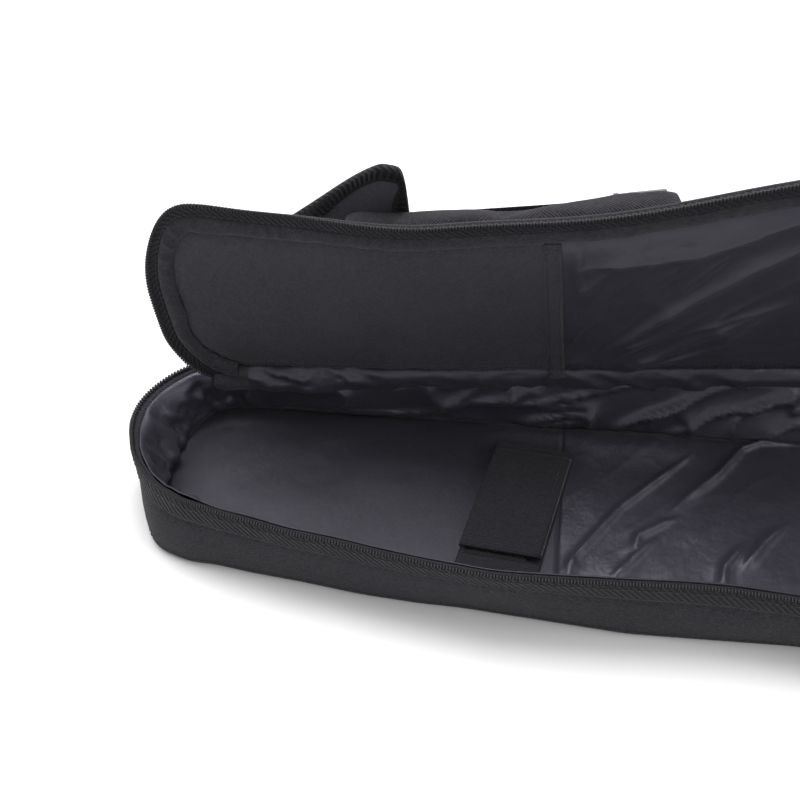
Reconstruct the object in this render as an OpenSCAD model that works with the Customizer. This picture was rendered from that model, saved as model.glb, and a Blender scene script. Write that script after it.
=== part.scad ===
// Padded gig bag for an electric guitar or bass, lying on its back with the lid open.
// X runs along the bag from the head end (-X) to the tail end (+X), Z is up.
// The lid is sewn to the tray along the spine, the straight +Y side, and zips round the rest.
// The outline is one rounded polygon, and every layer is that outline moved inwards.

/* [Bag outline] */
// Overall length, head end to tail end
bag_l = 1010; // [960:5:1100]
// Distance from the centre line to the near side at the head end
head_half_w = 71; // [68:1:78]
// Distance from the centre line to the near side where the neck starts to widen
neck_half_w = 86; // [82:1:92]
// Distance from the centre line to the near side at the tail corner, before rounding
tail_half_w = 190; // [180:1:200]
// Distance from the centre line to the spine at mid length
spine_mid_y = 119; // [114:1:126]
// Angle of the spine to the centre line
spine_angle = 8.5; // [8:0.25:9]
// Where the neck starts to widen, from the middle of the bag
waist_x = -60; // [-120:5:0]
// Radius of the two head corners
head_r = 50; // [42:1:56]
// Radius of the two tail corners
tail_r = 150; // [120:5:165]

/* [Layers] */
// Height of the tray, floor to rim
tray_h = 52; // [46:1:64]
// Thickness of the padded side wall
wall_t = 5; // [4:0.5:7]
// Thickness of the foam under the tray's lining
base_foam_t = 9; // [6:1:12]
// Thickness of the foam in the lid
lid_foam_t = 8; // [6:1:10]
// Thickness of a fabric panel
cloth_t = 1.5; // [1:0.1:2]
// Height of one half of the main zip's coil
coil_h = 2.8; // [2.2:0.1:3.2]
// Width of the zip tape
tape_w = 13; // [10:1:15]

/* [Opening] */
// How far the lid stands open from closed
lid_open = 77; // [70:1:100]

/* [Neck strap] */
// Width of the neck strap
strap_w = 50; // [38:1:52]
// Length of the strap's upper, folded-over layer
strap_flap_l = 88; // [76:1:92]
// Thickness of the strap's webbing
strap_t = 2.6; // [2:0.2:3.2]

/* [Pockets] */
// How far the neck pocket stands off the lid
neck_pocket_t = 32; // [20:1:36]
// How far the large pocket stands off the lid
body_pocket_t = 26; // [18:1:30]

/* [Carry handle] */
// Clear length of the handle's grip
grip_l = 110; // [100:5:125]
// How far the grip stands off the wall
grip_reach = 38; // [34:1:44]

/* [Hidden] */

black_shell = [0.10, 0.10, 0.12];
black_matte = [0.13, 0.13, 0.15];
black_lining = [0.16, 0.16, 0.20];
black_webbing = [0.07, 0.07, 0.08];
black_coil = [0.05, 0.05, 0.06];
gunmetal = [0.30, 0.30, 0.32];
foam_grey = [0.35, 0.35, 0.36];

arc_steps = 14;
// Small clearance between layers of different bodies
gap = 0.4;

head_x = -bag_l / 2;
tail_x = bag_l / 2;
function spine_y(x) = spine_mid_y + x * tan(spine_angle);

// Corners of the outline, counter-clockwise from the spine's head end
corners = [
    [head_x, spine_y(head_x)],
    [head_x, -head_half_w],
    [waist_x, -neck_half_w],
    [tail_x, -tail_half_w],
    [tail_x, spine_y(tail_x)]
];
corner_r = [head_r, head_r, 500, tail_r, tail_r];
corner_n = len(corners);

function unit(v) = v / norm(v);
function left_of(v) = [-v[1], v[0]];
function cross2(a, b) = a[0] * b[1] - a[1] * b[0];
function turned(v, t) = [v[0] * cos(t) - v[1] * sin(t), v[0] * sin(t) + v[1] * cos(t)];

// One rounded corner of the outline, moved inwards by inset
function corner_arc(i, inset) =
    let (
        v = corners[i],
        a = unit(v - corners[(i + corner_n - 1) % corner_n]),
        b = unit(corners[(i + 1) % corner_n] - v),
        turn = atan2(cross2(a, b), a * b),
        side = sign(turn),
        r = corner_r[i] - side * inset,
        moved = v + (left_of(a) + left_of(b)) * inset / (1 + a * b),
        start = moved - a * r * tan(abs(turn) / 2),
        centre = start + left_of(a) * side * r
    )
    [for (k = [0 : arc_steps]) centre + turned(start - centre, turn * k / arc_steps)];

function outline(inset) = [for (i = [0 : corner_n - 1]) each corner_arc(i, inset)];
outline_n = corner_n * (arc_steps + 1);

// The zip's path: the outline without the spine, and without skip steps at the tail end
function open_path(inset, skip) = [for (k = [0 : outline_n - 1 - skip]) outline(inset)[k]];
function reversed(p) = [for (k = [len(p) - 1 : -1 : 0]) p[k]];

// Heights of the lid's layers when it is shut
rim_z = tray_h + coil_h;
hinge_z = rim_z + 1.2;
lid_z = rim_z + gap;
lid_face_z = lid_z + coil_h;
lid_back_z = lid_face_z + lid_foam_t;
pocket_z = lid_back_z + cloth_t;

// The hinge line runs along the middle of the spine wall's top
hinge_inset = wall_t / 2;
hinge_y0 = spine_mid_y - hinge_inset / cos(spine_angle);
// The lid starts this far in from the spine's outer face, so that it clears the wall when open
lid_spine_gap = 7.5;
lid_edge_inset = 3;
binding_in = 16;
head_panel_end_x = -236;

base_z = cloth_t;
base_top_z = base_z + base_foam_t;
floor_z = base_top_z + cloth_t;
lining_in = wall_t + cloth_t;

module slab(inset, z0, z1) {
    translate([0, 0, z0])
        linear_extrude(z1 - z0)
            polygon(outline(inset));
}

module ring(outer, inner, z0, z1) {
    difference() {
        slab(outer, z0, z1);
        slab(inner, z0 - 1, z1 + 1);
    }
}

module zip_band(outer, inner, z0, z1, skip = 0) {
    translate([0, 0, z0])
        linear_extrude(z1 - z0)
            polygon(concat(open_path(outer, skip), reversed(open_path(inner, skip))));
}

// A frame on the spine's outer face at x, with its X along the spine
module at_spine(x, z) {
    translate([x, spine_y(x), z])
        rotate([0, 0, spine_angle])
            children();
}

// Everything within depth of the spine's outer face
module spine_strip(depth, z0, z1) {
    at_spine(0, z0)
        translate([-bag_l, -depth, 0])
            cube([2 * bag_l, depth + 60, z1 - z0]);
}

module before_x(x, z0, z1) {
    translate([x - bag_l, -bag_l / 2, z0])
        cube([bag_l, bag_l, z1 - z0]);
}

// Turns the lid, drawn shut, to its open position about the hinge line
module on_lid() {
    translate([0, hinge_y0, hinge_z])
        rotate([0, 0, spine_angle])
            rotate([-lid_open, 0, 0])
                rotate([0, 0, -spine_angle])
                    translate([0, -hinge_y0, -hinge_z])
                        children();
}

// ---- Tray ----

module back_panel() {
    color(black_shell)
        slab(0, 0, base_z);
}

module base_padding() {
    color(foam_grey)
        slab(wall_t, base_z, base_top_z);
}

module base_head_panel() {
    color(black_matte)
        intersection() {
            slab(wall_t, base_top_z, floor_z);
            before_x(head_panel_end_x, base_top_z - 1, floor_z + 1);
        }
}

module base_lining() {
    color(black_lining)
        difference() {
            slab(wall_t, base_top_z, floor_z);
            before_x(head_panel_end_x, base_top_z - 1, floor_z + 1);
        }
}

module side_wall() {
    color(black_shell)
        ring(0, wall_t, base_z, tray_h);
}

module side_lining() {
    color(black_lining)
        ring(wall_t, lining_in, floor_z, tray_h);
}

module inner_seam_binding() {
    color(black_webbing)
        ring(lining_in, lining_in + 2.5, floor_z, floor_z + 2.5);
}

spine_start = corner_arc(4, 0)[arc_steps];
spine_end = corner_arc(0, 0)[0];
spine_l = norm(spine_end - spine_start);

// Bound seam that closes the top of the spine wall, just under the hinge line
module spine_binding() {
    color(black_webbing)
        translate([spine_end[0], spine_end[1], tray_h])
            rotate([0, 0, spine_angle])
                translate([0, -wall_t, 0])
                    cube([spine_l, wall_t, coil_h]);
}

module tray_zip_tape() {
    color(black_webbing)
        zip_band(-1, 0, tray_h - tape_w, tray_h, 1);
}

module tray_zip_teeth() {
    color(black_coil)
        zip_band(-1, 2, tray_h, rim_z - gap, 1);
}

// Wear patch that wraps the foot of the tail end
tail_patch_top = 34;
tail_patch_t = 1.6;
tail_patch_l = 95;
module tail_patch() {
    color(black_webbing)
        intersection() {
            ring(-tail_patch_t, 0, base_z, tail_patch_top);
            translate([tail_x - tail_patch_l, -bag_l / 2, 0])
                cube([2 * tail_patch_l, bag_l, tail_patch_top]);
        }
}

// ---- Neck strap ----

// The strap crosses the neck, its sewn end at the near side and its fold at the far side
strap_x = -256;
strap_fold_y = 39;
strap_skew = -7;
strap_under_l = 104;
hook_pad_l = 60;
hook_pad_t = 1.2;
strap_lower_z = floor_z;
hook_pad_z = strap_lower_z + strap_t;
strap_upper_z = hook_pad_z + hook_pad_t + gap;
strap_hinge_z = hook_pad_z + hook_pad_t / 2;

module on_strap(z) {
    translate([strap_x, strap_fold_y, z])
        rotate([0, 0, strap_skew])
            children();
}

module neck_strap_lower() {
    color(black_webbing)
        on_strap(strap_lower_z)
            translate([-strap_w / 2 - 3, -strap_under_l, 0])
                cube([strap_w, strap_under_l, strap_t]);
}

module neck_strap_hook_pad() {
    color(black_webbing)
        on_strap(hook_pad_z)
            translate([-strap_w / 2 + 2, -strap_under_l + 16, 0])
                cube([strap_w - 10, hook_pad_l, hook_pad_t]);
}

module neck_strap_upper() {
    color(black_webbing)
        on_strap(strap_upper_z)
            translate([-strap_w / 2, -strap_flap_l, 0])
                cube([strap_w, strap_flap_l, strap_t]);
}

// ---- Lid, drawn shut and turned open by on_lid ----

module lid_layer(inset, z0, z1) {
    difference() {
        slab(inset, z0, z1);
        spine_strip(max(lid_spine_gap, inset), z0 - 1, z1 + 1);
    }
}

module lid_shell() {
    color(black_shell)
        on_lid()
            lid_layer(0, lid_back_z, pocket_z);
}

module lid_padding() {
    color(foam_grey)
        on_lid()
            lid_layer(lid_edge_inset, lid_face_z, lid_back_z);
}

module lid_head_panel() {
    color(black_matte)
        on_lid()
            intersection() {
                lid_layer(binding_in, lid_face_z - cloth_t, lid_face_z);
                before_x(head_panel_end_x, lid_z - 1, lid_face_z + 1);
            }
}

module lid_lining() {
    color(black_lining)
        on_lid()
            difference() {
                lid_layer(binding_in, lid_face_z - cloth_t, lid_face_z);
                before_x(head_panel_end_x, lid_z - 1, lid_face_z + 1);
            }
}

// Stitched hem where the head panel ends
hem_w = 10;
hem_near_y = -60;
module lid_hem() {
    color(black_matte)
        on_lid()
            translate([head_panel_end_x - hem_w, hem_near_y, lid_face_z - cloth_t - 0.8])
                cube([hem_w, spine_y(head_panel_end_x) - 12 - hem_near_y, 0.8]);
}

module lid_binding() {
    color(black_webbing)
        on_lid()
            difference() {
                zip_band(6, binding_in, lid_z + 0.2, lid_face_z - 1);
                spine_strip(lid_spine_gap, lid_z - 1, lid_face_z + 1);
            }
}

module lid_zip_tape() {
    color(black_webbing)
        on_lid()
            difference() {
                zip_band(2, binding_in, lid_face_z - 1, lid_face_z);
                spine_strip(lid_spine_gap, lid_z - 1, lid_face_z + 1);
            }
}

module lid_zip_teeth() {
    color(black_coil)
        on_lid()
            difference() {
                zip_band(-1, 2, lid_z, lid_face_z);
                spine_strip(lid_spine_gap, lid_z - 1, lid_face_z + 1);
            }
}

// ---- Pockets on the outside of the lid ----

// Neck pocket: a soft box behind the lid, with its zip along the free side
np_x0 = -375;
np_x1 = -165;
np_y0 = -58;
np_y1 = 44;
np_r = 14;
zip_w = 26;
zip_t = 1;
zip_end = 22;
coil_w = 5;
coil_t = 1.4;

module rounded_box(x0, x1, y0, y1, r, z0, z1) {
    translate([0, 0, z0])
        linear_extrude(z1 - z0)
            union() {
                translate([x0 + r, y0])
                    square([x1 - x0 - 2 * r, y1 - y0]);
                translate([x0, y0 + r])
                    square([x1 - x0, y1 - y0 - 2 * r]);
                for (x = [x0 + r, x1 - r], y = [y0 + r, y1 - r])
                    translate([x, y])
                        circle(r, $fn = 40);
            }
}

// Zip tape with its coil, from x0 to x1
module pocket_zip(x0, x1, y, z) {
    translate([x0, y - zip_w / 2, z])
        cube([x1 - x0, zip_w, zip_t]);
    translate([x0 + 4, y - coil_w / 2, z + zip_t])
        cube([x1 - x0 - 8, coil_w, coil_t]);
}

slider_l = 11;
slider_w = 8;
slider_h = 3.2;
pull_l = 30;
pull_w = 8;
pull_t = 1.6;
eye_r = 1.1;

ear_t = 1.4;
ear_h = 3.4;
pull_neck_l = 7;
pull_neck_w = 4;

// A zip slider: a flat body with two raised ears for the pull
module slider() {
    translate([-slider_l / 2, -slider_w / 2, 0])
        cube([slider_l, slider_w, slider_h]);
    for (y = [-slider_w / 2, slider_w / 2 - ear_t])
        translate([-1.5, y, slider_h])
            cube([3, ear_t, ear_h]);
}

// A pull tab with its crossbar held between the slider's two ears
module pull() {
    rotate([90, 0, 0])
        cylinder(h = slider_w - 2 * ear_t - 2 * gap, r = eye_r, center = true, $fn = 32);
    translate([0.6, -pull_neck_w / 2, -pull_t / 2])
        cube([pull_neck_l, pull_neck_w, pull_t]);
    translate([pull_neck_l, -pull_w / 2, -pull_t / 2])
        cube([pull_l - pull_neck_l, pull_w, pull_t]);
}

np_zip_y = np_y0 + 26;
np_top_z = pocket_z + neck_pocket_t;
coil_top = zip_t + coil_t;
np_zip_x0 = -308;
np_zip_x1 = np_x1 - zip_end;

module neck_pocket() {
    color(black_shell)
        on_lid()
            rounded_box(np_x0, np_x1, np_y0, np_y1, np_r, pocket_z, np_top_z);
}

module neck_pocket_zip() {
    color(black_coil)
        on_lid()
            pocket_zip(np_zip_x0, np_zip_x1, np_zip_y, np_top_z);
}

np_slider_x = np_zip_x1 - 18;
module neck_pocket_slider() {
    color(gunmetal)
        on_lid()
            translate([np_slider_x, np_zip_y, np_top_z + coil_top + gap])
                slider();
}

pull_axis_h = slider_h + 1.9;
module neck_pocket_pull() {
    color(gunmetal)
        on_lid()
            translate([np_slider_x, np_zip_y, np_top_z + coil_top + gap + pull_axis_h])
                pull();
}

// Bound flap at the pocket's head end, standing past the lid's free edge
flap_x = -386;
flap_w = 66;
flap_root_y = -36;
flap_l = 62;
flap_t = 4;
flap_z = np_top_z + 1;
flap_proud = 0.5;
flap_bind_w = 11;
flap_skew = 14;

module flap_outline(inset) {
    hull_w = flap_w - 2 * inset;
    polygon([
        [inset, 0],
        [inset, -flap_l * 0.45 + inset / 2],
        [flap_w * 0.34, -flap_l * 0.86 + inset],
        [flap_w * 0.55, -flap_l + inset],
        [flap_w * 0.80, -flap_l * 0.97 + inset],
        [inset + hull_w * 0.97, -flap_l * 0.80 + inset],
        [inset + hull_w, 0]
    ]);
}

module at_flap() {
    translate([flap_x, flap_root_y, flap_z])
        rotate([0, 0, flap_skew])
            children();
}

module pocket_flap() {
    color(black_matte)
        on_lid()
            at_flap()
                linear_extrude(flap_t)
                    flap_outline(flap_bind_w);
}

module pocket_flap_binding() {
    color(black_webbing)
        on_lid()
            at_flap()
                translate([0, 0, -flap_proud])
                    linear_extrude(flap_t + 2 * flap_proud)
                        difference() {
                            flap_outline(0);
                            flap_outline(flap_bind_w);
                        }
}

// Large pocket over the body of the bag
bp_x0 = -20;
bp_x1 = 420;
bp_y0 = -95;
bp_y1 = 100;
bp_r = 40;
bp_zip_y = bp_y0 + 44;
bp_top_z = pocket_z + body_pocket_t;

module body_pocket() {
    color(black_shell)
        on_lid()
            rounded_box(bp_x0, bp_x1, bp_y0, bp_y1, bp_r, pocket_z, bp_top_z);
}

module body_pocket_zip() {
    color(black_coil)
        on_lid()
            pocket_zip(bp_x0 + zip_end, bp_x1 - zip_end, bp_zip_y, bp_top_z);
}

bp_slider_x = bp_x1 - zip_end - 18;
module body_pocket_slider() {
    color(gunmetal)
        on_lid()
            translate([bp_slider_x, bp_zip_y, bp_top_z + coil_top + gap])
                slider();
}

module body_pocket_pull() {
    color(gunmetal)
        on_lid()
            translate([bp_slider_x, bp_zip_y, bp_top_z + coil_top + gap + pull_axis_h])
                pull();
}

// ---- Main zip's two sliders, parked near the spine's tail end ----

// Their places, as steps round the tail's spine-side corner
main_slider_steps = [8, 5];
main_slider_z = rim_z - gap - slider_w / 2;
tail_turn = 90 + spine_angle;
slider_standoff = 1 + gap;

// A frame outside the tail corner: X along the zip towards the spine, Z out of the wall
module on_tail_corner(k) {
    spot = corner_arc(4, -slider_standoff)[k];
    translate([spot[0], spot[1], main_slider_z])
        rotate([0, 0, tail_turn * k / arc_steps])
            rotate([90, 0, 90])
                children();
}

module main_slider(k) {
    color(gunmetal)
        on_tail_corner(k)
            slider();
}

module main_pull(k) {
    color(gunmetal)
        on_tail_corner(k)
            translate([0, 0, pull_axis_h])
                children();
}

module main_slider_front() {
    main_slider(main_slider_steps[0]);
}

module main_slider_rear() {
    main_slider(main_slider_steps[1]);
}

module main_pull_front() {
    main_pull(main_slider_steps[0])
        pull();
}

module main_pull_rear() {
    main_pull(main_slider_steps[1])
        rotate([0, 0, 180])
            pull();
}

// ---- Carry handle on the near side wall ----

near_angle = atan((neck_half_w - tail_half_w) / (tail_x - waist_x));
handle_x = 130;
handle_z = 24;
webbing_w = 25;
webbing_t = 2.5;
patch_w = 36;
patch_h = 28;
patch_t = 1.6;
grip_r = 15;

// A frame on the near wall's outer face: X along the wall, -Y out of it
module at_handle() {
    translate([handle_x, -neck_half_w + (handle_x - waist_x) * tan(near_angle), handle_z])
        rotate([0, 0, near_angle])
            children();
}

// Middle of each leg, out from the middle of the grip
leg_x = grip_l / 2 + webbing_w / 2 + 2;
// The legs turn about this line, just off the patches
handle_axis_y = -patch_t - gap - webbing_t / 2;

module handle_patches() {
    color(black_webbing)
        at_handle()
            for (s = [-1, 1])
                translate([s * leg_x - patch_w / 2, -patch_t, -patch_h / 2])
                    cube([patch_w, patch_t, patch_h]);
}

module handle_webbing() {
    color(black_webbing)
        at_handle()
            union() {
                for (s = [-1, 1])
                    translate([s * leg_x - webbing_w / 2, 0, 0]) {
                        translate([0, handle_axis_y, 0])
                            rotate([0, 90, 0])
                                cylinder(h = webbing_w, r = webbing_t / 2, $fn = 32);
                        translate([0, -grip_reach - webbing_w / 2, -webbing_t / 2])
                            cube([webbing_w, grip_reach + webbing_w / 2 + handle_axis_y, webbing_t]);
                    }
                translate([-leg_x, -grip_reach - webbing_w / 2, -webbing_t / 2])
                    cube([2 * leg_x, webbing_w, webbing_t]);
            }
}

// Padded wrap closed round the webbing
module handle_grip() {
    color(black_matte)
        at_handle()
            difference() {
                translate([-grip_l / 2, -grip_reach, 0])
                    rotate([0, 90, 0])
                        cylinder(h = grip_l, r = grip_r, $fn = 48);
                translate([-grip_l, -grip_reach - webbing_w / 2, -webbing_t / 2])
                    cube([2 * grip_l, webbing_w, webbing_t]);
            }
}

back_panel();
base_padding();
base_head_panel();
base_lining();
side_wall();
side_lining();
inner_seam_binding();
spine_binding();
tray_zip_tape();
tray_zip_teeth();
tail_patch();
neck_strap_lower();
neck_strap_upper();
neck_strap_hook_pad();
lid_shell();
lid_padding();
lid_head_panel();
lid_lining();
lid_binding();
lid_hem();
lid_zip_tape();
lid_zip_teeth();
neck_pocket();
neck_pocket_zip();
neck_pocket_slider();
neck_pocket_pull();
pocket_flap();
pocket_flap_binding();
body_pocket();
body_pocket_zip();
body_pocket_slider();
body_pocket_pull();
main_slider_front();
main_slider_rear();
main_pull_front();
main_pull_rear();
handle_patches();
handle_webbing();
handle_grip();
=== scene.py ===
"""Looks of a padded gig bag, lying on its back with the lid open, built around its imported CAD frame.

Lengths are millimetres in the frame's own axes until place() turns them into metres. Only the camera,
the lights, the floor and the scales inside materials are in metres from the start.
X runs from the head end (-X) to the tail end (+X), Z is up, and the lid hinges on the +Y side.
Ring pieces are drawn in (s, inset, z): s runs along the outline from the spine's head corner, round
the head, along the near side and round the tail, inset is how far inwards, and z is the height with
the lid shut. Lid pieces are drawn shut and turned open by lid_xyz().
"""

import math

import bpy
import numpy as np
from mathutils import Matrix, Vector


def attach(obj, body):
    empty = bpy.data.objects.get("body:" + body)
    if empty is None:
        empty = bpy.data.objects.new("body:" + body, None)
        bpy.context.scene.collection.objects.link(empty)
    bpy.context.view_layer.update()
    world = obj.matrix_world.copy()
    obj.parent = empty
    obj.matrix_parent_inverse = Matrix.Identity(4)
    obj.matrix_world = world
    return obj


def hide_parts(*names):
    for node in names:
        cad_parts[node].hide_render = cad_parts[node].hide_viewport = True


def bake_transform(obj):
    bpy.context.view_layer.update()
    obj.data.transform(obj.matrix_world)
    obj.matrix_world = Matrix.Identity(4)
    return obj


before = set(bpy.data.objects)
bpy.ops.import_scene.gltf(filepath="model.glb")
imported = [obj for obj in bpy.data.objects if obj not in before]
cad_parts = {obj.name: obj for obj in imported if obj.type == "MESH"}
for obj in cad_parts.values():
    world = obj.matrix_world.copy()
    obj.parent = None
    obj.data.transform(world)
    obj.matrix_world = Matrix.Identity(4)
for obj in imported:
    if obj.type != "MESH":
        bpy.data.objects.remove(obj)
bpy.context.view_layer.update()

MM = 0.001

# ---- The bag's outline and heights, as in the CAD model ----

SPINE = math.radians(8.5)
HEAD_X, WAIST_X, TAIL_X = -505.0, -60.0, 505.0
SPINE_MID_Y = 119.0
CORNER_R = (50.0, 50.0, 500.0, 150.0, 150.0)
STEP = 3.2
FLOOR_Z, RIM_Z = 12.0, 54.8
HINGE_Z, HINGE_Y = 56.0, 116.472
LID_OPEN = 77.0
POCKET_Z = 67.5
PANEL_END_X, LID_PANEL_X = -236.0, -241.0
RIM_INSET = 3.0
# An X past either end of the bag, for a panel that runs its whole length
BEYOND = 600
# How the open lid differs from a flat one: the free edge's dip, the head end's extra reach and shortening,
# the head corner's reach, all in millimetres, and how many degrees further the head end leans
DIP, HEAD_REACH, HEAD_SHRINK, CORNER_REACH, HEAD_TWIST = 8.0, 8.0, 8.0, 8.0, 13.0


def spine_y(x):
    return SPINE_MID_Y + x * math.tan(SPINE)


CORNERS = np.array([
    (HEAD_X, spine_y(HEAD_X)),
    (HEAD_X, -71.0),
    (WAIST_X, -86.0),
    (TAIL_X, -190.0),
    (TAIL_X, spine_y(TAIL_X)),
])


def unit(v):
    return v / np.linalg.norm(v)


def corner_arc(i, steps=40):
    """Points round one rounded corner of the outline."""
    before = unit(CORNERS[i] - CORNERS[i - 1])
    after = unit(CORNERS[(i + 1) % len(CORNERS)] - CORNERS[i])
    turn = math.atan2(before[0] * after[1] - before[1] * after[0], before @ after)
    side, r = math.copysign(1, turn), CORNER_R[i]
    start = CORNERS[i] - before * r * math.tan(abs(turn) / 2)
    centre = start + np.array([-before[1], before[0]]) * side * r
    angles = np.linspace(0, turn, steps + 1)
    d = start - centre
    return centre + np.column_stack([
        d[0] * np.cos(angles) - d[1] * np.sin(angles),
        d[0] * np.sin(angles) + d[1] * np.cos(angles),
    ])


def resampled(points, step):
    length = np.r_[0, np.cumsum(np.linalg.norm(np.diff(points, axis=0), axis=1))]
    count = int(length[-1] / step) + 1
    at = np.linspace(0, length[-1], count)
    return np.column_stack([np.interp(at, length, points[:, k]) for k in (0, 1)])


OPEN_EDGE = resampled(np.vstack([corner_arc(i) for i in range(len(CORNERS))]), STEP)
SPINE_EDGE = resampled(np.vstack([OPEN_EDGE[-1], OPEN_EDGE[0]]), STEP)[1:-1]
EDGE = np.vstack([OPEN_EDGE, SPINE_EDGE])
_ahead = np.roll(EDGE, -1, 0) - np.roll(EDGE, 1, 0)
_ahead /= np.linalg.norm(_ahead, axis=1)[:, None]
INWARD = np.column_stack([-_ahead[:, 1], _ahead[:, 0]])
EDGE_S = np.r_[0, np.cumsum(np.linalg.norm(np.diff(EDGE, axis=0), axis=1))]
PERIMETER = EDGE_S[-1] + np.linalg.norm(EDGE[0] - EDGE[-1])
ZIP_L = EDGE_S[len(OPEN_EDGE) - 1]


def smooth(t):
    t = np.clip(t, 0, 1)
    return t * t * (3 - 2 * t)


def noise(u, v, seed, ease=smooth):
    """Noise from -1 to 1 that repeats every 64 units. With ease=abs it has flat facets and sharp creases."""
    table = np.random.default_rng(seed).uniform(-1, 1, (64, 64))
    u, v = np.broadcast_arrays(np.asarray(u, float), np.asarray(v, float))
    iu, iv = np.floor(u).astype(int), np.floor(v).astype(int)
    fu, fv = ease(u - iu), ease(v - iv)
    low = table[iu % 64, iv % 64] * (1 - fu) + table[(iu + 1) % 64, iv % 64] * fu
    high = table[iu % 64, (iv + 1) % 64] * (1 - fu) + table[(iu + 1) % 64, (iv + 1) % 64] * fu
    return low * (1 - fv) + high * fv


def rough_noise(u, v, seed, octaves=3):
    total, size = 0, 1.0
    for k in range(octaves):
        total = total + noise(u / size, v / size, seed + k) * size
        size *= 0.5
    return total / 1.6


def creases(u, v, seed, sharp=4.0):
    """Folds with a sharp crest and a wide valley, from 0 to 1."""
    bent = u + 0.9 * noise(u * 0.5, v * 0.6, seed + 5)
    return (1 - np.abs(noise(bent, v, seed))) ** sharp


def ridge(x, y, points, width, height):
    """One fold that follows points over a panel, widens along them and dies away at both ends."""
    points = np.asarray(points, float)
    seg = np.diff(points, axis=0)
    lengths = np.linalg.norm(seg, axis=1)
    total, done, best, at = lengths.sum(), 0.0, np.full(np.shape(x), 1e9), np.zeros(np.shape(x))
    for p, d, n in zip(points, seg, lengths):
        t = np.clip(((x - p[0]) * d[0] + (y - p[1]) * d[1]) / n**2, 0, 1)
        far = np.hypot(x - p[0] - t * d[0], y - p[1] - t * d[1])
        at = np.where(far < best, (done + t * n) / total, at)
        best = np.minimum(best, far)
        done += n
    taper = smooth(at / 0.25) * smooth((1 - at) / 0.25) * 0.85 + 0.15
    return height * taper * np.exp(-((best / (width * (0.6 + 0.8 * at))) ** 1.25))


# ---- How the soft walls and lid stand ----

# How far the rim leans out and the foot stands out, as pairs of s and millimetres round the outline
RIM_OUT = (
    (0, 14), (22, 18), (42, 17), (61, 16.5), (80, 14), (96, 7), (115, -2), (144, -8.5), (170, -8), (183, -4),
    (202, -2), (228, 2.4), (260, 4.3), (288, 7.5), (317, 9.5), (353, 11), (388, 7), (426, 2), (462, -3),
    (487, -5), (522, -5), (600, -2), (700, 0), (1100, 3), (1500, 0), (2250, 0), (2285, 3), (2317, 14),
)
FOOT = (
    (0, 21), (16, 21), (32, 11), (48, 5), (67, 1.5), (85, 0), (110, 2), (135, 4), (150, 0), (176, -2.8),
    (200, -1), (237, 0), (272, 2), (310, 1.7), (336, 0), (436, -0.5), (471, -4), (538, -11), (640, -10),
    (800, -4), (950, 0), (2100, 0), (2163, 7), (2234, 15), (2285, 21), (2317, 21),
)
# How far inside the wall the floor's seam lies, which is only on the spine side
SEAM = ((0, 0), (1300, 0), (1600, 4), (1820, 10), (1926, 17), (1978, 14), (2038, 7), (2122, 0), (2317, 0))


def softened(pairs):
    at, value = np.array(pairs, float).T
    line = np.interp(EDGE_S, at, value)
    kernel = np.hanning(9) / np.hanning(9).sum()
    return np.convolve(np.r_[line[-4:], line, line[:4]], kernel, "valid")


RIM_LEAN, FOOT_OUT, SEAM_IN = softened(RIM_OUT), softened(FOOT), softened(SEAM)


def on_edge(s, values):
    """A value of the outline at s, which may run past either end."""
    s = np.mod(s, PERIMETER)
    return np.interp(s, np.r_[EDGE_S, PERIMETER], np.r_[values, values[:1]])


def edge_xy(s, inset):
    x = on_edge(s, EDGE[:, 0]) + on_edge(s, INWARD[:, 0]) * inset
    y = on_edge(s, EDGE[:, 1]) + on_edge(s, INWARD[:, 1]) * inset
    return x, y


def tray_at(s, inset, z):
    """A point of the tray, with the walls' lean."""
    s, inset, z = np.broadcast_arrays(*(np.asarray(a, float) for a in (s, inset, z)))
    up = np.clip(z / RIM_Z, 0, 1)
    out = on_edge(s, RIM_LEAN) * up**1.4 + on_edge(s, FOOT_OUT) * (1 - up)
    x, y = edge_xy(s, inset - out)
    return np.stack([x, y, z], -1)


HINGE_DIR = np.array([math.cos(SPINE), math.sin(SPINE)])
LID_IN = np.array([math.sin(SPINE), -math.cos(SPINE)])


def lid_xyz(x, y, z):
    """Turns a point of the shut lid open. The head end leans back and the middle of the free edge dips."""
    x, y, z = np.broadcast_arrays(*(np.asarray(a, float) for a in (x, y, z)))
    across = (x * LID_IN[0] + (y - HINGE_Y) * LID_IN[1])
    along = x * HINGE_DIR[0] + (y - HINGE_Y) * HINGE_DIR[1]
    up = z - HINGE_Z
    part = np.clip(across / 125.0, 0, 1.6)
    head = smooth((-335 - along) / 150)
    dip = DIP * np.exp(-(((along + 240) / 75) ** 2)) * np.interp(up, (12, 28), (1, 0.55))
    corner = np.exp(-(((along + 487) / 26) ** 2)) * smooth((across - 60) / 50)
    across = across * (1 + (head * HEAD_REACH - dip) / 125.0) + CORNER_REACH * corner
    along = along + HEAD_SHRINK * head**2 - CORNER_REACH * corner
    over = np.interp(along, (-505, -400, -300, -190, -60, 505), (4, 8, 8, 7, 4, 2))
    up = up - over * np.exp(-(((across - 7) / 13) ** 2)) * np.clip(1 - up / 14, 0, 1)
    angle = np.radians(LID_OPEN + HEAD_TWIST * head * smooth(part * 1.5))
    flat = across * np.cos(angle) - up * np.sin(angle)
    return np.stack([
        HINGE_DIR[0] * along + LID_IN[0] * flat,
        HINGE_Y + HINGE_DIR[1] * along + LID_IN[1] * flat,
        HINGE_Z + across * np.sin(angle) + up * np.cos(angle),
    ], -1)


def lid_at(s, inset, z):
    x, y = edge_xy(s, inset)
    return lid_xyz(x, y, z)


# ---- Mesh helpers ----


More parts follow.
